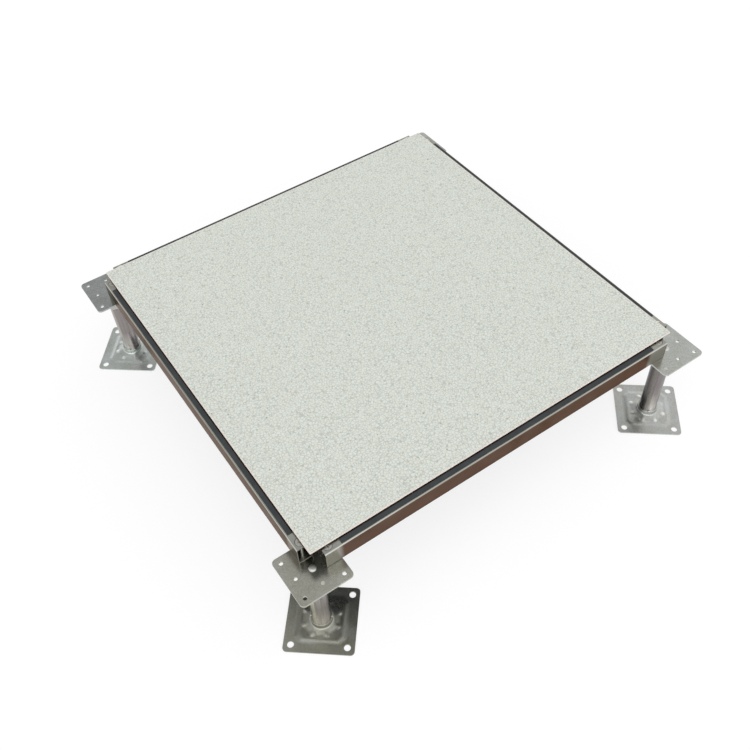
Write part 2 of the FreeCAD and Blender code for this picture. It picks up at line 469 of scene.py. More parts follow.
def grey_of(add, wire, share):
    mixed = add("CombineColor")
    for channel in ("Red", "Green", "Blue"):
        wire(share, mixed.inputs[channel])
    return mixed.outputs["Color"]


def blend_of(add, wire, factor, first, second, how="MIX"):
    """Mixes two colours; each is a socket or a plain colour."""
    mix = add("Mix", data_type="RGBA", blend_type=how)
    if hasattr(factor, "is_linked"):
        wire(factor, mix.inputs[0])
    else:
        mix.inputs[0].default_value = factor
    for index, colour in ((6, first), (7, second)):
        if hasattr(colour, "is_linked"):
            wire(colour, mix.inputs[index])
        else:
            mix.inputs[index].default_value = (*colour, 1)
    return mix.outputs[2]


def gloss_of(add, wire, shader, cloud, low, high):
    """Gloss that drifts between two amounts of roughness."""
    wire(range_of(add, wire, cloud, CLOUD, (low, high)), shader.inputs["Roughness"])


def bump_of(add, wire, shader, height, strength, depth):
    bump = add("Bump", Strength=strength, Distance=depth)
    wire(height, bump.inputs["Height"])
    wire(bump.outputs["Normal"], shader.inputs["Normal"])


def laminate_finish():
    """Off-white laminate: pale cells in a soft grey network, a few dark flecks, a warm cut edge made paler by
    a painted highlight, and a cream band painted along the top's border as a painted highlight.
    """
    made, shader, add, wire = finish("crackled_laminate", 0, 0.42)
    where = spots_of(add, wire)
    warp = add("TexNoise", Scale=210, Detail=2)
    wire(where, warp.inputs["Vector"])
    bend = add("MixRGB", blend_type="LINEAR_LIGHT", Fac=0.0016)
    wire(where, bend.inputs["Color1"])
    wire(warp.outputs["Color"], bend.inputs["Color2"])
    bent = bend.outputs["Color"]
    gaps = cells_of(add, wire, bent, "DISTANCE_TO_EDGE", CELL_SCALE)
    vein = range_of(add, wire, gaps["Distance"], (0, 0.17), (1, 0))
    patch = noise_of(add, wire, where, Scale=300, Detail=2)
    strength = range_of(add, wire, patch, (0.36, 0.64), (0.4, 1))
    grains = cells_of(add, wire, bent, "F1", CELL_SCALE)
    ground = ramp_of(add, wire, lot_of(add, wire, grains["Color"]), CELL_TONES)
    faded = maths_of(add, wire, "MULTIPLY", vein, strength)
    veined = blend_of(add, wire, faded, ground, (0.43, 0.455, 0.42))
    flecks = cells_of(add, wire, bent, "F1", FLECK_SCALE)
    dot = range_of(add, wire, flecks["Distance"], (0.05, 0.14), (1, 0))
    chosen = range_of(add, wire, lot_of(add, wire, flecks["Color"]), (0.5, 0.85), (0, 0.9))
    marked = maths_of(add, wire, "MULTIPLY", dot, chosen)
    flecked = blend_of(add, wire, marked, veined, (0.15, 0.175, 0.18))
    # Painted highlight: a cream band along the top's border, where the eased edge would catch the light
    rim = range_of(add, wire, furthest_of(add, wire, where), LAMINATE_HIGHLIGHT_BAND)
    rim_highlighted = blend_of(add, wire, rim, flecked, (0.81, 0.72, 0.645))
    # The cut edge's warm colour, made paler as a painted highlight
    tilt = axes_of(add, wire, add("TexCoord").outputs["Normal"])["Z"]
    edge = range_of(add, wire, tilt, (0.4, 0.9), (1, 0))
    wire(blend_of(add, wire, edge, rim_highlighted, (0.86, 0.74, 0.66)), shader.inputs["Base Color"])
    gloss_of(add, wire, shader, patch, 0.36, 0.5)
    bump_of(add, wire, shader, patch, strength=0.05, depth=0.3 * MM)
    return made


def coated_finish():
    """Powder coat with a fine orange peel: blue grey under the panel, and painted shade that makes it dark
    round its edge.
    """
    made, shader, add, wire = finish("powder_coat", 0, 0.5)
    shader.inputs["Specular IOR Level"].default_value = SOFT_SHINE
    where = spots_of(add, wire)
    cloud = noise_of(add, wire, where, Scale=14, Detail=3)
    dark = tones_of(add, wire, cloud, (0.014, 0.006, 0.006), (0.022, 0.011, 0.011))
    grey = tones_of(add, wire, cloud, (0.29, 0.31, 0.34), (0.38, 0.40, 0.43))
    # Painted shade: near black round the panel's edge, where the flange lies in shadow
    edge = range_of(add, wire, furthest_of(add, wire, where), COAT_SHADED_EDGE)
    wire(blend_of(add, wire, edge, grey, dark), shader.inputs["Base Color"])
    gloss_of(add, wire, shader, cloud, 0.42, 0.6)
    peel = noise_of(add, wire, where, Scale=900, Detail=2)
    bump_of(add, wire, shader, peel, strength=0.25, depth=0.2 * MM)
    return made


def rubber_finish():
    """Soft dark grey strip, with a painted shadow where the panel covers it and just past its edge."""
    made, shader, add, wire = finish("soft_gasket", 0, 0.55)
    shader.inputs["Specular IOR Level"].default_value = SOFT_SHINE
    where = spots_of(add, wire)
    cloud = noise_of(add, wire, where, Scale=60, Detail=5)
    colour = tones_of(add, wire, cloud, (0.040, 0.045, 0.047), (0.054, 0.060, 0.062))
    # Painted shadow of the panel on the strip
    painted_shadow = range_of(add, wire, furthest_of(add, wire, where), GASKET_SHADOWED, (1, 0))
    wire(blend_of(add, wire, painted_shadow, colour, (0.012, 0.005, 0.005)), shader.inputs["Base Color"])
    gloss_of(add, wire, shader, cloud, 0.42, 0.62)
    grain = noise_of(add, wire, where, Scale=1500, Detail=2)
    bump_of(add, wire, shader, grain, strength=0.2, depth=0.1 * MM)
    return made


def plated_finish(name, light, dark, rough, tints=(), pressed=False):
    """Zinc plate: cloudy colour, uneven gloss, fine marks, and painted glints on the high spots.

    Each tint is painted light and shade for one pedestal, lightening or darkening its plates. A pressed plate
    also gets painted shade in the pressing of the near pedestal.
    """
    made, shader, add, wire = finish(name, 1, rough)
    where = spots_of(add, wire)
    cloud = noise_of(add, wire, where, Scale=38, Detail=5, Roughness=0.62)
    tone = tones_of(add, wire, cloud, dark, light)
    marks = noise_of(add, wire, where, Scale=420, Detail=3)
    share = range_of(add, wire, marks, (0.35, 0.65), (0.9, 1.06))
    plain = blend_of(add, wire, 1.0, tone, grey_of(add, wire, share), "MULTIPLY")
    # Painted glints on the tops of the base plates' swellings
    rubbed = add("Attribute", attribute_name="rubbed").outputs["Fac"]
    colour = blend_of(add, wire, rubbed, plain, (0.96, 0.97, 0.96))
    # Painted light and shade: each pedestal's plates lightened or darkened as a whole
    for pedestal, tint in zip(PEDESTALS, tints):
        here = pedestal_of(add, wire, where, pedestal)
        colour = blend_of(add, wire, here, colour, tint, "MULTIPLY")
    if pressed:
        # Painted shade: the near base's pressing is darkened by height
        rise = range_of(add, wire, axes_of(add, wire, where)["Z"], (BASE_SHEET, BOSS_Z))
        pressing_shade = ramp_of(add, wire, rise, [(height, (part, part, part)) for height, part in NEAR_PRESSING_SHADE])
        here = pedestal_of(add, wire, where, NEAR_PEDESTAL)
        colour = blend_of(add, wire, here, colour, pressing_shade, "MULTIPLY")
    wire(colour, shader.inputs["Base Color"])
    gloss_of(add, wire, shader, cloud, rough - 0.06, rough + 0.08)
    bump_of(add, wire, shader, marks, strength=0.04, depth=0.12 * MM)
    return made


def tube_finish():
    """Drawn tube: pinkish grey zinc with long soft streaks, and painted light over it: a bright painted
    highlight streak, painted shade on the side away from it and on the right tubes, and a painted reflection
    that makes it paler towards its foot.
    """
    made, shader, add, wire = finish("drawn_tube", 1, 0.26)
    broad = noise_of(add, wire, spots_of(add, wire, (1, 1, 0.05)), Scale=110, Detail=2)
    fine = noise_of(add, wire, spots_of(add, wire, (1, 1, 0.02)), Scale=900, Detail=2)
    tone = tones_of(add, wire, broad, (0.20, 0.18, 0.175), (0.34, 0.32, 0.31))
    where = add("TexCoord").outputs
    spot = axes_of(add, wire, where["Object"])
    # Painted shade: the right tubes darken towards their upper part
    right = range_of(add, wire, spot["X"], TUBE_RIGHT)
    upper = range_of(add, wire, spot["Z"], TUBE_UPPER, (0, 0.55))
    deep = maths_of(add, wire, "MULTIPLY", right, upper)
    toned = blend_of(add, wire, deep, tone, (0.10, 0.082, 0.09))
    towards = towards_of(add, wire, where["Normal"], HIGHLIGHT_SIDE)
    # Painted shade on the side turned away from the highlight
    far = range_of(add, wire, towards, (-0.7, 0.5), (0.75, 0))
    shaded = blend_of(add, wire, far, toned, (0.13, 0.105, 0.105))
    # Painted reflection: the tube is paler towards its foot
    pale = add("VectorMath", operation="SCALE")
    wire(shaded, pale.inputs["Vector"])
    wire(range_of(add, wire, spot["Z"], TUBE_FOOT, (2.4, 1.25)), pale.inputs["Scale"])
    # Painted shade on one side of the right tubes
    turned = towards_of(add, wire, where["Normal"], DIM_SIDE)
    dim = maths_of(add, wire, "MULTIPLY", right, range_of(add, wire, turned, (0.1, 0.7), (0, 0.7)))
    dimmed = blend_of(add, wire, dim, pale.outputs["Vector"], (0.03, 0.025, 0.027))
    # Painted highlight: a bright streak down the side that faces one way, strongest on the near tube
    stripe = range_of(add, wire, towards, (0.93, 0.995))
    across = maths_of(add, wire, "ADD", spot["X"], spot["Y"])
    strength = range_of(add, wire, across, TUBE_NEAR, (1, 0.12))
    highlight_streak = maths_of(add, wire, "MULTIPLY", stripe, strength)
    highlight_streaked = blend_of(add, wire, highlight_streak, dimmed, (0.88, 0.87, 0.74))
    line = grey_of(add, wire, range_of(add, wire, fine, CLOUD, (0.88, 1.1)))
    wire(blend_of(add, wire, 1.0, highlight_streaked, line, "MULTIPLY"), shader.inputs["Base Color"])
    gloss_of(add, wire, shader, broad, 0.2, 0.34)
    bump_of(add, wire, shader, fine, strength=0.08, depth=0.1 * MM)
    return made


def stud_finish():
    """Zinc plated thread, and a paler matt rivet head above the plate."""
    made, shader, add, wire = finish("zinc_thread", 1, 0.3)
    where = spots_of(add, wire)
    cloud = noise_of(add, wire, where, Scale=60, Detail=5)
    thread = tones_of(add, wire, cloud, (0.42, 0.41, 0.38), (0.55, 0.54, 0.50))
    above = range_of(add, wire, axes_of(add, wire, where)["Z"], RIVET_UNDERSIDE)
    wire(blend_of(add, wire, above, thread, (0.68, 0.68, 0.65)), shader.inputs["Base Color"])
    wire(range_of(add, wire, above, (0, 1), (0.3, 0.48)), shader.inputs["Roughness"])
    grain = noise_of(add, wire, where, Scale=500, Detail=3)
    bump_of(add, wire, shader, grain, strength=0.12, depth=0.1 * MM)
    return made


def stringer_finish():
    """Galvanised tube with a grey top, and painted light on its sides and bends: brown sides painted as the
    reflection of a brown floor, paler on the left stringer and darker at the foot, grey ends painted as the
    head plates' reflection, and painted highlights on the upper bends.
    """
    made, shader, add, wire = finish("galvanised_tube", 1, 0.3)
    shader.inputs["Specular Tint"].default_value = (0.5, 0.44, 0.4, 1)
    coordinates = add("TexCoord").outputs
    where = coordinates["Object"]
    spot = axes_of(add, wire, where)
    cloud = noise_of(add, wire, where, Scale=26, Detail=5)
    # Painted reflection: the sides' brown stands for a brown floor mirrored in the zinc
    brown = tones_of(add, wire, cloud, (0.125, 0.082, 0.066), (0.158, 0.107, 0.087))
    # Painted light: the left stringer's sides are paler
    left = range_of(add, wire, spot["X"], STRINGER_LEFT_LIT, (1, 0))
    paler = blend_of(add, wire, left, brown, (0.195, 0.157, 0.134))
    # Painted shade along the sides' foot
    foot = range_of(add, wire, spot["Z"], STRINGER_FOOT_SHADE, (0.6, 0))
    foot_shaded = blend_of(add, wire, foot, paler, (0.05, 0.034, 0.029))
    # Painted reflection: the sides turn grey near the ends, where the head plates would be mirrored, reaching
    # further at the right end
    along = furthest_of(add, wire, where, "MINIMUM")
    longer = range_of(add, wire, spot["X"], STRINGER_RIGHT, (0, STRINGER_RIGHT_LONGER))
    end = range_of(add, wire, maths_of(add, wire, "ADD", along, longer), STRINGER_END)
    sides = blend_of(add, wire, end, foot_shaded, (0.40, 0.40, 0.37))
    steel = tones_of(add, wire, cloud, (0.36, 0.37, 0.33), (0.47, 0.48, 0.43))
    facing = axes_of(add, wire, coordinates["Normal"])["Z"]
    flat = range_of(add, wire, maths_of(add, wire, "ABSOLUTE", facing), (0.4, 0.8))
    plain = blend_of(add, wire, flat, sides, steel)
    # Painted highlight on the upper bends, brighter towards the ends
    ending = range_of(add, wire, along, STRINGER_ENDING)
    edge = blend_of(add, wire, ending, (0.4, 0.38, 0.33), (0.72, 0.71, 0.64))
    bend = ramp_of(add, wire, facing, BEND_HIGHLIGHT_SHARES)
    wire(blend_of(add, wire, bend, plain, edge), shader.inputs["Base Color"])
    gloss_of(add, wire, shader, cloud, 0.24, 0.38)
    grain = noise_of(add, wire, where, Scale=700, Detail=2)
    bump_of(add, wire, shader, grain, strength=0.1, depth=0.1 * MM)
    return made


FINISHES = {
    "laminate": laminate_finish(),
    "coated_sheet": coated_finish(),
    "gasket_rubber": rubber_finish(),
    "galvanised_steel": stringer_finish(),
    "screw_steel": plated_finish("bright_screw", (0.62, 0.61, 0.57), (0.45, 0.44, 0.41), 0.3),
    "plated_head": plated_finish(
        "satin_zinc_head", (0.55, 0.565, 0.55), (0.48, 0.48, 0.435), 0.23, HEAD_PAINTED_LIGHT
    ),
    "plated_stud": stud_finish(),
    "plated_nut": plated_finish("zinc_nut", (0.56, 0.55, 0.51), (0.42, 0.41, 0.38), 0.32),
    "plated_tube": tube_finish(),
    "plated_base": plated_finish(
        "pressed_zinc", (0.585, 0.605, 0.60), (0.505, 0.505, 0.46), 0.31, BASE_PAINTED_LIGHT, pressed=True
    ),
}


def hand_over(piece, body, slot, node):
    """Gives a finished piece its material and hangs it on the body of the node that it stands for."""
    piece.data.materials.clear()
    piece.data.materials.append(FINISHES[slot])
    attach(piece, body)
    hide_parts(node)


def set_round(piece, slot, node, body, names):
    """Puts a finished piece and its copies round the bay, one for each name."""
    twins = [copy_round(piece, node + "_" + name + "_skin", step) for step, name in enumerate(names)]
    start()
    bpy.data.objects.remove(piece)
    for twin, name in zip(twins, names):
        owner = body if body == "frame" else body + "_" + name
        hand_over(twin, owner, slot, node + "_" + name)
    return twins


# The panel

def panel_board(name, node, edge):
    """A thin square board with rounded corners and eased edges."""
    low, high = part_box(node)
    board = block(name, low, high)
    pick(board, "EDGE", upright)
    round_off(PANEL_CORNER, steps=5)
    pick(board, "EDGE", level(high[2]))
    round_off(edge, steps=3)
    smooth(board, angle=40)
    return board


# The stringers

def screw_places():
    """Where the front stringer's two screws go down."""
    return [(-HALF + HEAD_SCREW_HOLE, -HALF), (HALF - HEAD_SCREW_HOLE, -HALF)]


def stringer_tube():
    """A rectangular tube with rounded bends, open ends and a dimple for the screw near each end."""
    low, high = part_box("stringer_front")
    tube = block("stringer_tube", low, high)

    def lengthwise(a, b):
        return abs(a.y - b.y) < NEAR and abs(a.z - b.z) < NEAR

    pick(tube, "EDGE", lengthwise)
    round_off(STRINGER_BEND, steps=4)
    pick(tube, "FACE", lambda middle, normal: abs(normal.x) > 0.9)
    bpy.ops.mesh.delete(type="FACE")
    done()
    shape(tube, "SOLIDIFY", thickness=STRINGER_WALL, offset=-1, use_even_offset=True)
    rim = SCREW_HEAD + SCREW_SUNK + SCREW_CLEARANCE
    hole = SCREW_SHANK + SCREW_CLEARANCE
    top = high[2]
    foot = top - (rim - hole)
    half_wall = STRINGER_WALL / 2
    cups = []
    for spot in screw_places():
        sink = bar(
            "sink", hole - CUP_LIP, foot - CUP_LIP, top + CUP_LIP, SCREW_SIDES, spot, top_radius=rim + CUP_LIP
        )
        cut(tube, sink)
        cup = bar(
            "cup", hole, foot, top - half_wall, SCREW_SIDES, spot, ends="NOTHING", top_radius=rim - half_wall
        )
        shape(cup, "SOLIDIFY", thickness=CUP_WALL, offset=1)
        cups.append(cup)
    join(tube, *cups)
    smooth(tube, angle=35)
    return tube


def gasket_strip():
    """A soft strip with rounded shoulders."""
    low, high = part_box("stringer_gasket_front")
    strip = block("gasket_strip", low, high)
    pick(strip, "EDGE", level(high[2]))
    round_off(GASKET_SHOULDER, steps=3)
    smooth(strip, angle=40)
    return strip


def stringer_screws():
    """Countersunk cross recess screws, one near each end of every stringer."""
    low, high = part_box("stringer_screws")
    top = high[2]
    cone = SCREW_HEAD - SCREW_SHANK
    screws = []
    for spot in screw_places():
        screw = bar("screw", SCREW_SHANK, top - cone, top, SCREW_SIDES, spot, top_radius=SCREW_HEAD)
        pick(screw, "FACE", lambda middle, normal: normal.z < -0.9)
        pull((0, 0, low[2] - top + cone))
        done()
        pick(screw, "EDGE", on_ring(SCREW_HEAD, top, spot))
        round_off(SCREW_EDGE, steps=2)
        x, y = spot
        for long, wide in ((RECESS_REACH, RECESS_WING), (RECESS_WING, RECESS_REACH)):
            wing_low = (x - long, y - wide, top - RECESS_DEPTH)
            wing_high = (x + long, y + wide, top + RECESS_DEPTH)
            cut(screw, block("wing", wing_low, wing_high))
        screws.append(screw)
    pair = join(*screws)
    smooth(pair, angle=35)
    sets = [copy_round(pair, "screws", step) for step in range(1, 4)]
    pair = join(pair, *sets)
    return place(pair, "stringer_screws_skin")


# The pedestals, modelled at the front left corner

CORNER_SPOT = (-HALF, -HALF)


def head_plate():
    """A flat plate with punched holes and eased edges."""
    low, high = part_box("head_plate_front_left")
    plate = block("head_plate", low, high)
    pick(plate, "EDGE", upright)
    round_off(HEAD_CORNER, steps=8)
    for z in (low[2], high[2]):
        pick(plate, "EDGE", level(z))
        round_off(HEAD_EDGE, steps=2)
    corner = HEAD_CORNER_HOLE
    side = HEAD_SCREW_HOLE
    holes = [(RIVET_NECK, 0, 0)]
    holes += [(HEAD_CORNER_HOLE_RADIUS, corner * sx, corner * sy) for sx in (-1, 1) for sy in (-1, 1)]
    holes += [(HEAD_SCREW_HOLE_RADIUS, x, y) for x, y in ((side, 0), (-side, 0), (0, side), (0, -side))]
    middles = [(radius, (-HALF + x, -HALF + y)) for radius, x, y in holes]
    bottom = low[2] - CUT_PAST
    top = high[2] + CUT_PAST
    cut(plate, *[bar("punch", radius, bottom, top, HEAD_HOLE_SIDES, spot) for radius, spot in middles])
    for z in (low[2], high[2]):
        tests = [on_ring(radius, z, spot) for radius, spot in middles]
        pick(plate, "EDGE", lambda a, b: any(test(a, b) for test in tests))
        round_off(HEAD_HOLE_EDGE, steps=2)
    smooth(plate, angle=40)
    return plate


def stud():
    """A threaded rod with its end hammered over the head plate as a rivet."""
    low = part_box("stud_front_left")[0]
    plate_low, plate_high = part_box("head_plate_front_left")
    thread_top = plate_low[2]
    thread_low = thread_top - STUD_PITCH * STUD_TURNS
    start()
    bpy.ops.mesh.primitive_plane_add(
        size=STUD_PITCH,
        location=(STUD_ROOT, 0, 0),
        rotation=(math.radians(90), 0, 0),
    )
    thread = place(bpy.context.active_object, "stud")
    pick(thread, "VERT", lambda spot: spot.x > STUD_ROOT)
    bpy.ops.mesh.delete(type="VERT")
    bpy.ops.mesh.select_all(action="SELECT")
    bpy.ops.transform.translate(value=(STUD_PITCH / 2, 0, STUD_PITCH / 2))
    bpy.ops.mesh.subdivide(number_cuts=7)
    done()
    eighth = STUD_PITCH / 8
    pick(thread, "VERT", lambda spot: 3 * eighth - NEAR < spot.z < 5 * eighth + NEAR)
    bpy.ops.transform.translate(value=(STUD_RADIUS - STUD_ROOT, 0, 0))
    done()
    pick(thread, "VERT", lambda spot: abs(spot.z - 2 * eighth) < NEAR or abs(spot.z - 6 * eighth) < NEAR)
    bpy.ops.transform.translate(value=((STUD_RADIUS - STUD_ROOT) / 2, 0, 0))
    done()
    shape(
        thread,
        "SCREW",
        axis="Z",
        screw_offset=STUD_PITCH,
        iterations=STUD_TURNS - 1,
        steps=36,
        render_steps=36,
        use_merge_vertices=True,
        merge_threshold=0.01 * MM,
    )
    thread.location = (*CORNER_SPOT, thread_low)
    place(thread, "stud")
    core = bar("core", STUD_ROOT - CORE_GAP, low[2], thread_top, STUD_SIDES, CORNER_SPOT)
    pick(core, "EDGE", level(low[2]))
    round_off(STUD_CHAMFER, steps=2)
    shank_low = low[2] + SHANK_LIFT
    shank = bar("shank", STUD_RADIUS, shank_low, thread_low + STUD_PITCH, STUD_SIDES, CORNER_SPOT)
    pick(shank, "EDGE", flat_lying)
    round_off(STUD_CHAMFER, steps=2)
    shoulder_low = thread_top - SHOULDER_HEIGHT
    shoulder = bar("shoulder", STUD_RADIUS, shoulder_low, thread_top, STUD_SIDES, CORNER_SPOT)
    pick(shoulder, "EDGE", level(shoulder_low))
    round_off(SHOULDER_EDGE, steps=2)
    rivet_low = plate_high[2]
    rivet = bar("rivet", RIVET_RADIUS, rivet_low, rivet_low + RIVET_FOOT, RIVET_SIDES, CORNER_SPOT)
    pick(rivet, "FACE", lambda middle, normal: normal.z > 0.9)
    for rise, narrow in RIVET_STEPS:
        pull((0, 0, rise), narrow, (*CORNER_SPOT, 0))
    done()
    rod = join(thread, core, shank, shoulder, rivet)
    smooth(rod, angle=50)
    return rod


def levelling_nut():
    """A hexagon nut with turned chamfers and a clear bore."""
    low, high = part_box("levelling_nut_front_left")
    across_corners = NUT_FLATS / 2 / math.cos(math.radians(30))
    nut = bar("levelling_nut", across_corners, low[2], high[2], 6, CORNER_SPOT, turn=math.radians(30))
    turned = bar("turned", across_corners + NUT_TURNED_GAP, low[2], high[2], NUT_SIDES, CORNER_SPOT)
    pick(turned, "EDGE", flat_lying)
    round_off(NUT_CHAMFER, steps=1)
    cut(nut, turned, how="INTERSECT")
    cut(nut, bar("bore", NUT_BORE, low[2] - CUT_PAST, high[2] + CUT_PAST, NUT_BORE_SIDES, CORNER_SPOT))
    for z in (low[2], high[2]):
        pick(nut, "EDGE", on_ring(NUT_BORE, z, CORNER_SPOT))
        round_off(NUT_BORE_CHAMFER, steps=1)
    smooth(nut, angle=30)
    return nut


def pedestal_tube():
    """A plain tube with eased rims."""
    low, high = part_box("pedestal_tube_front_left")
    tube = bar("pedestal_tube", TUBE_RADIUS, low[2], high[2], TUBE_SIDES, CORNER_SPOT, ends="NOTHING")
    shape(tube, "SOLIDIFY", thickness=TUBE_WALL, offset=-1, use_even_offset=True)
    pick(tube, "EDGE", on_ring(TUBE_RADIUS, high[2], CORNER_SPOT))
    round_off(TUBE_EDGE, steps=2)
    smooth(tube, angle=40)
    return tube


def open_ring(made, least, cuts):
    """Divides the long edges of a flat outline and takes its face out."""
    pick(made, "EDGE", lambda a, b: (a - b).length > least)
    bpy.ops.mesh.subdivide(number_cuts=cuts)
    bpy.ops.mesh.select_all(action="SELECT")
    bpy.ops.mesh.delete(type="ONLY_FACE")
    done()
    return made


def flat_square(half, z):
    start()
    bpy.ops.mesh.primitive_plane_add(size=2 * half, location=(0, 0, z))
    return place(bpy.context.active_object, "ring")


def round_ring(half, radius, z, cuts):
    """An open square ring with rounded corners."""
    made = flat_square(half, z)
    pick(made, "VERT", anything)
    round_off(radius, steps=5, corners=True)
    return open_ring(made, radius, cuts)


def cut_ring(flat, corner, z, cuts):
    """An open square ring with cut corners, eased at each of its eight turns."""
    made = flat_square(flat, z)
    pick(made, "VERT", anything)
    round_off(2 * flat - math.sqrt(2) * corner, steps=1, corners=True)
    pick(made, "VERT", anything)
    round_off(PRESS_EASE, steps=2, corners=True)
    return open_ring(made, 1.5 * PRESS_EASE, cuts)


def bridge(made, low, high):
    """Joins the open ring at one height to the open ring at another."""
    pick(made, "EDGE", lambda a, b: level(low)(a, b) or level(high)(a, b))
    bpy.ops.mesh.bridge_edge_loops()
    done()


def bend_test(z, parting, inner_only=False):
    """A test for the rings at a height, inside and outside a radius, without the edges between them."""

    def test(a, b):
        if not level(z)(a, b):
            return False
        reach = (math.hypot(a.x, a.y), math.hypot(b.x, b.y))
        return max(reach) < parting or (min(reach) > parting and not inner_only)

    return test


def base_plate():
    """A pressed plate: rim, cut corner platform, eight sided boss and a collar drawn up round the tube."""
    platform_top = PLATFORM_FLAT - PLATFORM_RUN
    heights = [BASE_SHEET, BASE_SHEET, PLATFORM_Z, PLATFORM_Z, BOSS_Z]
    stand = [z + RINGS_APART * step for step, z in enumerate(heights)]
    rings = [
        round_ring(BASE_SIDE / 2, BASE_CORNER, stand[0], cuts=6),
        cut_ring(PLATFORM_FLAT, PLATFORM_CORNER, stand[1], cuts=3),
        cut_ring(platform_top, PLATFORM_CORNER - PLATFORM_RUN, stand[2], cuts=3),
        cut_ring(BOSS_FLAT, BOSS_FLAT, stand[3], cuts=3),
        bar("collar", COLLAR_RADIUS, stand[4], stand[4] + COLLAR_RISE, COLLAR_SIDES, ends="NOTHING"),
    ]
    plate = join(*rings)
    # The rings are joined while they stand apart, then pushed down to their own heights
    for step in range(len(stand) - 1, 0, -1):
        bridge(plate, stand[step - 1], stand[step])
    for step in range(1, len(stand)):
        pick(plate, "VERT", lambda spot: step * RINGS_APART < spot.z < (step + 1) * RINGS_APART)
        bpy.ops.transform.translate(value=(0, 0, -step * RINGS_APART))
        done()
    pick(plate, "EDGE", bend_test(BASE_SHEET, (BASE_SIDE / 2 + PLATFORM_CORNER) / 2, inner_only=True))
    round_off(PRESS_BEND, steps=4)
    pick(plate, "EDGE", bend_test(PLATFORM_Z, (platform_top + BOSS_REACH) / 2))
    round_off(PRESS_BEND, steps=4)
    pick(plate, "EDGE", on_ring(COLLAR_RADIUS, BOSS_Z))
    round_off(COLLAR_ROOT, steps=4)
    raise_knuckles(plate)
    shape(plate, "SOLIDIFY", thickness=BASE_SHEET, offset=-1, use_even_offset=True)
    pick(plate, "EDGE", on_ring(COLLAR_RADIUS, COLLAR_Z))
    round_off(COLLAR_EDGE, steps=3)
    holes = [(BASE_HOLE * sx, BASE_HOLE * sy) for sx in (-1, 1) for sy in (-1, 1)]
    top = BASE_SHEET + CUT_PAST
    cut(plate, *[bar("punch", BASE_HOLE_RADIUS, -CUT_PAST, top, BASE_HOLE_SIDES, spot) for spot in holes])
    tests = [on_ring(BASE_HOLE_RADIUS, BASE_SHEET, spot) for spot in holes]
    pick(plate, "EDGE", lambda a, b: any(test(a, b) for test in tests))
    round_off(BASE_HOLE_EDGE, steps=2)
    smooth(plate, angle=40)
    plate = join(plate, *[weld_nugget(side) for side in (-1, 1)])
    plate.rotation_euler.z = BASE_TURN
    plate.location = (*CORNER_SPOT, 0)
    return place(plate, "base_plate")


def knuckle_places(middle=(0, 0), base_turn=0):
    """Where two folds of the boss meet its foot."""
    reach = BOSS_REACH - KNUCKLE_INSET
    turns = [base_turn + math.radians(22.5 + 45 * step) for step in range(8)]
    return [(middle[0] + reach * math.cos(turn), middle[1] + reach * math.sin(turn)) for turn in turns]


def raise_knuckles(plate):
    """Shallow swellings, raised out of the sheet."""
    inner, outer = [share * BOSS_REACH for share in KNUCKLE_RING]
    pick(plate, "FACE", lambda middle, normal: inner < math.hypot(middle.x, middle.y) < outer)
    bpy.ops.mesh.subdivide(number_cuts=3)
    done()
    for x, y in knuckle_places():
        pick(plate, "VERT", lambda spot: math.hypot(spot.x - x, spot.y - y) < KNUCKLE_GRIP)
        bpy.ops.transform.translate(
            value=(0, 0, KNUCKLE_RISE),
            use_proportional_edit=True,
            proportional_edit_falloff="SMOOTH",
            proportional_size=KNUCKLE_RADIUS,
        )
        done()


def paint_knuckle_glints(plate, corner):
    """Marks the tops of a set plate's swellings with painted glints, each as bright as its share."""
    middle = (HALF if "right" in corner else -HALF, HALF if "back" in corner else -HALF)
    tops = list(zip(knuckle_places(middle, BASE_TURN), KNUCKLE_GLINT_SHARES[corner]))
    marks = plate.data.attributes.new("rubbed", "FLOAT", "POINT")
    for spot, mark in zip(plate.data.vertices, marks.data):
        if spot.co.z > PLATFORM_Z - KNUCKLE_GLINT_DEPTH:
            gaps = [(math.hypot(spot.co.x - x, spot.co.y - y), share) for (x, y), share in tops]
            mark.value = max(0, *[share * (1 - (gap / KNUCKLE_GLINT) ** 2) for gap, share in gaps])


def weld_nugget(side):
    """A small weld on the collar's rim that holds the tube."""
    start()
    bpy.ops.mesh.primitive_uv_sphere_add(
        segments=20,
        ring_count=12,
        radius=NUGGET_RADIUS,
        location=(side * (COLLAR_RADIUS - BASE_SHEET / 2), 0, COLLAR_Z),
    )
    nugget = bpy.context.active_object
    nugget.scale = NUGGET_SHAPE
    place(nugget, "weld_nugget")
    smooth(nugget, angle=60)
    return nugget


# The pieces, one after another

for name, node, slot, edge in (
    ("panel_laminate_skin", "panel_laminate", "laminate", LAMINATE_EDGE),
    ("panel_top_sheet_skin", "panel_top_sheet", "coated_sheet", TOP_SHEET_EDGE),
):
    hand_over(panel_board(name, node, edge), "frame", slot, node)

set_round(stringer_tube(), "galvanised_steel", "stringer", "frame", SIDES)
set_round(gasket_strip(), "gasket_rubber", "stringer_gasket", "frame", SIDES)
hand_over(stringer_screws(), "frame", "screw_steel", "stringer_screws")
set_round(head_plate(), "plated_head", "head_plate", "frame", CORNERS)
set_round(stud(), "plated_stud", "stud", "frame", CORNERS)
set_round(levelling_nut(), "plated_nut", "levelling_nut", "nut", CORNERS)
set_round(pedestal_tube(), "plated_tube", "pedestal_tube", "leg", CORNERS)
base_plates = set_round(base_plate(), "plated_base", "base_plate", "leg", CORNERS)
# Painted glints on each base plate's swellings
for plate, corner in zip(base_plates, CORNERS):
    paint_knuckle_glints(plate, corner)

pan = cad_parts["panel_bottom_pan"]
for place_slot in pan.material_slots:
    place_slot.material = FINISHES["coated_sheet"]


# Floor, light and camera

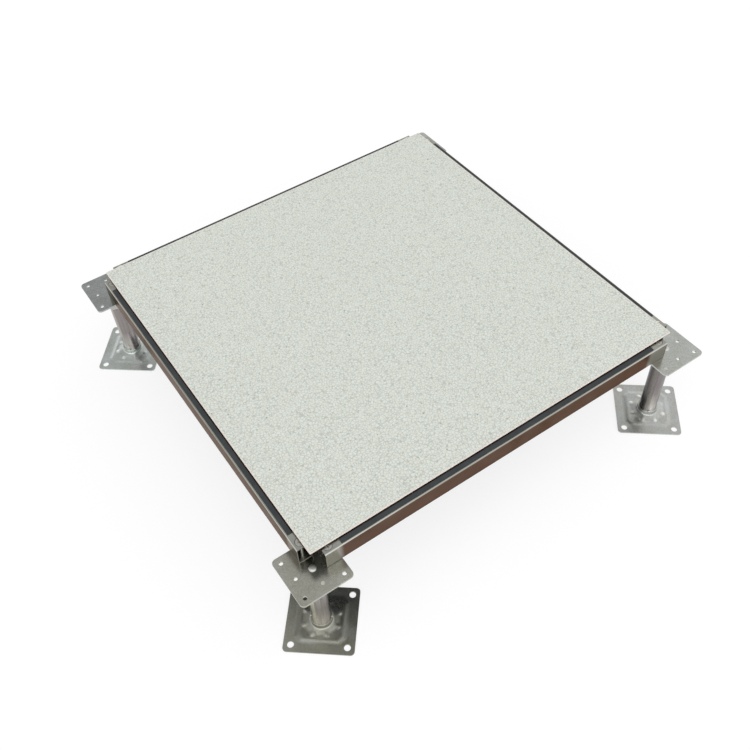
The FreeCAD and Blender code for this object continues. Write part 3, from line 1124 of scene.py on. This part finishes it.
FLOOR_SIZE = 24
FLOOR_COLOUR = (0.28, 0.28, 0.28)
FLOOR_LIFT = 0.74
BACKDROP_RADIUS = 11.9
BACKDROP_HEIGHT = 8
BRIGHT_SIDE = (0.33, -0.94, 0.1)
ROOM_DIM = 0.25
ROOM_BRIGHT = 1.25
SUN_STRENGTH = 0.9
SUN_SPREAD = 75
SUN_SPOT = (-1.4, -1.2, 2.6)
CAMERA_SENSOR = 36
CAMERA_LENS = 42.849
CAMERA_SPOT = (-0.50025, -0.78817, 1.11772)
CAMERA_TURNS = (40.0296, 2.1208, -34.5324)


def bare_material(name):
    """A material with nothing on its output yet."""
    made = bpy.data.materials.new(name)
    made.use_nodes = True
    nodes = made.node_tree.nodes
    nodes.remove(nodes["Principled BSDF"])
    return made, nodes, made.node_tree.links


def seen_directly(nodes, links):
    """1 for rays from the camera, from gloss and through glass, and 0 for the others."""
    path = nodes.new("ShaderNodeLightPath")
    shown = path.outputs["Is Camera Ray"]
    for ray in ("Is Glossy Ray", "Is Transmission Ray"):
        more = nodes.new("ShaderNodeMath")
        more.operation = "MAXIMUM"
        links.new(shown, more.inputs[0])
        links.new(path.outputs[ray], more.inputs[1])
        shown = more.outputs["Value"]
    return shown


def studio_floor():
    """A pale floor that keeps the object's shadow."""
    start()
    bpy.ops.mesh.primitive_plane_add(size=FLOOR_SIZE, location=(0, 0, 0))
    floor = place(bpy.context.active_object, "studio_floor")
    made, nodes, links = bare_material("pale_floor")
    matt = nodes.new("ShaderNodeBsdfDiffuse")
    matt.inputs["Color"].default_value = (*FLOOR_COLOUR, 1)
    lift = nodes.new("ShaderNodeEmission")
    amount = nodes.new("ShaderNodeMath")
    amount.operation = "MULTIPLY"
    links.new(seen_directly(nodes, links), amount.inputs[0])
    amount.inputs[1].default_value = FLOOR_LIFT
    links.new(amount.outputs["Value"], lift.inputs["Strength"])
    both = nodes.new("ShaderNodeAddShader")
    links.new(matt.outputs["BSDF"], both.inputs[0])
    links.new(lift.outputs["Emission"], both.inputs[1])
    links.new(both.outputs["Shader"], nodes["Material Output"].inputs["Surface"])
    floor.data.materials.append(made)


def studio_backdrop():
    """A round white wall that shows behind the object and lets the room's light pass."""
    backdrop = bar("studio_backdrop", BACKDROP_RADIUS, 0, BACKDROP_HEIGHT, BACKDROP_SIDES, ends="NOTHING")
    made, nodes, links = bare_material("white_backdrop")
    clear = nodes.new("ShaderNodeBsdfTransparent")
    white = nodes.new("ShaderNodeEmission")
    white.inputs["Strength"].default_value = 1
    either = nodes.new("ShaderNodeMixShader")
    links.new(seen_directly(nodes, links), either.inputs["Fac"])
    links.new(clear.outputs["BSDF"], either.inputs[1])
    links.new(white.outputs["Emission"], either.inputs[2])
    links.new(either.outputs["Shader"], nodes["Material Output"].inputs["Surface"])
    backdrop.data.materials.append(made)


def studio_light():
    """A soft room, brighter on one side, and one broad soft sun."""
    world = bpy.data.worlds.new("studio")
    world.use_nodes = True
    nodes = world.node_tree.nodes
    links = world.node_tree.links
    back = nodes["Background"]
    where = nodes.new("ShaderNodeTexCoord")
    towards = nodes.new("ShaderNodeVectorMath")
    towards.operation = "DOT_PRODUCT"
    links.new(where.outputs["Generated"], towards.inputs[0])
    towards.inputs[1].default_value = BRIGHT_SIDE
    strength = nodes.new("ShaderNodeMapRange")
    links.new(towards.outputs["Value"], strength.inputs["Value"])
    strength.inputs["From Min"].default_value = -1
    strength.inputs["To Min"].default_value = ROOM_DIM
    strength.inputs["To Max"].default_value = ROOM_BRIGHT
    links.new(strength.outputs["Result"], back.inputs["Strength"])
    back.inputs["Color"].default_value = (1, 1, 1, 1)
    bpy.context.scene.world = world
    lamp = bpy.data.lights.new("soft_sun", "SUN")
    lamp.energy = SUN_STRENGTH
    lamp.angle = math.radians(SUN_SPREAD)
    sun = bpy.data.objects.new("soft_sun", lamp)
    sun.location = SUN_SPOT
    sun.rotation_euler = (-sun.location).to_track_quat("-Z", "Y").to_euler()
    bpy.context.collection.objects.link(sun)


def photo_camera():
    camera = bpy.data.cameras.new("camera")
    camera.sensor_width = CAMERA_SENSOR
    camera.lens = CAMERA_LENS
    eye = bpy.data.objects.new("camera", camera)
    eye.location = CAMERA_SPOT
    eye.rotation_euler = [math.radians(turn) for turn in CAMERA_TURNS]
    bpy.context.collection.objects.link(eye)
    bpy.context.scene.camera = eye


studio_floor()
studio_backdrop()
studio_light()
photo_camera()
bpy.context.scene.view_settings.view_transform = "Standard"
